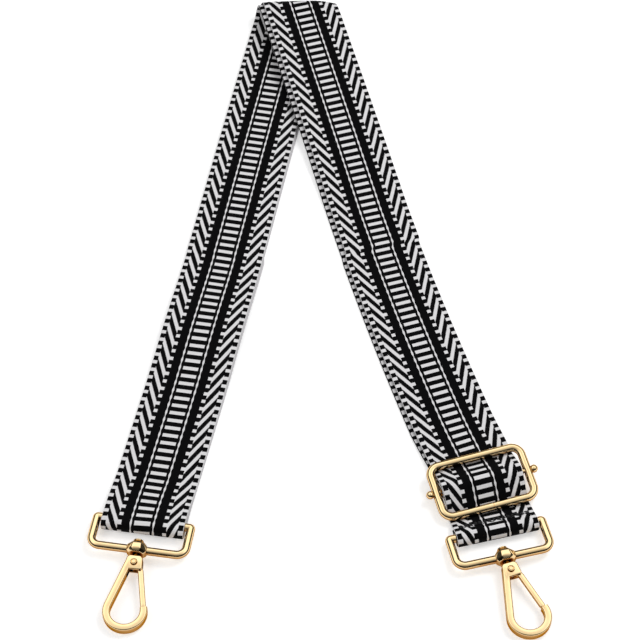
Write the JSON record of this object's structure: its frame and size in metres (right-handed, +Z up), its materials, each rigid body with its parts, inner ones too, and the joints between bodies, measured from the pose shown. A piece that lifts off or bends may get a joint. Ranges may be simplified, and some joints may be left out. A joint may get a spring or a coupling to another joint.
{
  "type": "detachable bag strap",
  "caption": "Adjustable woven bag strap folded flat, with a swivel snap hook on a ring at each end and a metal slider that sets its length.",
  "frame": {"origin": "middle of the strap's box, on the surface it lies on", "axes": "+Z up from that surface, +Y from the hooks towards the fold, +X to the right, where the slider is"},
  "size_m": [0.2094, 0.3856, 0.0136],
  "materials": {
    "webbing": "woven, black and off-white",
    "thread": "twisted",
    "gold_plate": "polished",
    "spring_steel": "bright"
  },
  "bodies": {
    "strap": {"webbing": "webbing", "ring_end_stitching": "thread"},
    "slider": {"slider_bar": "gold_plate", "slider_bar_cap": "gold_plate", "slider_end_stitching": "thread"},
    "slider_frame": {"slider_frame": "gold_plate"},
    "left_ring": {"left_ring": "gold_plate"},
    "left_hook": {"left_hook_body": "gold_plate", "left_swivel_post": "gold_plate", "left_gate_pin": "gold_plate", "left_gate_spring": "spring_steel"},
    "left_gate": {"left_gate": "gold_plate"},
    "right_ring": {"right_ring": "gold_plate"},
    "right_hook": {"right_hook_body": "gold_plate", "right_swivel_post": "gold_plate", "right_gate_pin": "gold_plate", "right_gate_spring": "spring_steel"},
    "right_gate": {"right_gate": "gold_plate"}
  },
  "joints": [
    {"name": "left_ring_tilt", "type": "hinge", "parent": "strap", "child": "left_ring", "pos_m": [-0.07948, -0.12986, 0.0036], "axis": [-0.9849, 0.1732, 0], "range_deg": [-140, 140]},
    {"name": "left_hook_swivel", "type": "hinge", "parent": "left_ring", "child": "left_hook", "pos_m": [-0.08214, -0.14499, 0.0047], "axis": [0.1443, 0.9882, 0.0518], "continuous": true},
    {"name": "left_gate_open", "type": "hinge", "parent": "left_hook", "child": "left_gate", "pos_m": [-0.08318, -0.1521, 0.00433], "axis": [0.0054, 0.0516, -0.9987], "range_deg": [0, 22], "stiffness_Nm_per_rad": 0.02, "springref_deg": -14.32, "deforming": ["left_gate_spring"]},
    {"name": "right_ring_tilt", "type": "hinge", "parent": "strap", "child": "right_ring", "pos_m": [0.07912, -0.13814, 0.0036], "axis": [-0.9764, -0.2158, 0], "range_deg": [-140, 140]},
    {"name": "right_hook_swivel", "type": "hinge", "parent": "right_ring", "child": "right_hook", "pos_m": [0.08243, -0.15314, 0.0047], "axis": [-0.2749, 0.9601, 0.0519], "continuous": true},
    {"name": "right_gate_open", "type": "hinge", "parent": "right_hook", "child": "right_gate", "pos_m": [0.08441, -0.16005, 0.00433], "axis": [-0.0185, 0.0487, -0.9986], "range_deg": [0, 22], "stiffness_Nm_per_rad": 0.02, "springref_deg": -14.32, "deforming": ["right_gate_spring"]},
    {"name": "slider_slide", "type": "slide", "parent": "strap", "child": "slider", "axis": [-0.2823, 0.9593, 0], "range_m": [0, 0.12], "deforming": ["webbing"]},
    {"name": "slider_frame_tilt", "type": "hinge", "parent": "slider", "child": "slider_frame", "pos_m": [0.07459, -0.11342, 0.00527], "axis": [0.9645, 0.2639, 0], "range_deg": [-8, 5], "deforming": ["webbing"]}
  ]
}
